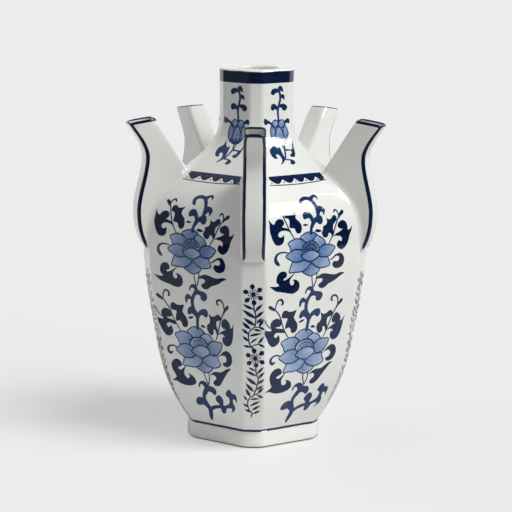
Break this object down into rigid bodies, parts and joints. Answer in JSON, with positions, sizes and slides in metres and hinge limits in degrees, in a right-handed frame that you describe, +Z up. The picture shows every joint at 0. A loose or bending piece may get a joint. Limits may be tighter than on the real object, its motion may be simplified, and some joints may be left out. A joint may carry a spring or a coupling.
{
  "type": "tulip vase",
  "caption": "Five-sided footed porcelain vase with a round-mouthed neck and an upright S-curved flower spout on each corner, painted in blue on white.",
  "frame": {"origin": "centre of the foot on the table", "axes": "+Z up along the vase's axis, -Y towards the front spout, +X to the right of the front spout"},
  "size_m": [0.194, 0.185, 0.282],
  "materials": {
    "glaze": "clear gloss glaze on white porcelain",
    "cobalt": "cobalt blue painted under a clear gloss glaze"
  },
  "bodies": {
    "root": {"foot_ring": "glaze", "base_floor": "glaze", "belly": "glaze", "shoulder": "glaze", "neck": "glaze", "mouth_rim": "cobalt", "spout_front": "glaze", "spout_right_front": "glaze", "spout_right_back": "glaze", "spout_left_back": "glaze", "spout_left_front": "glaze"}
  },
  "joints": []
}
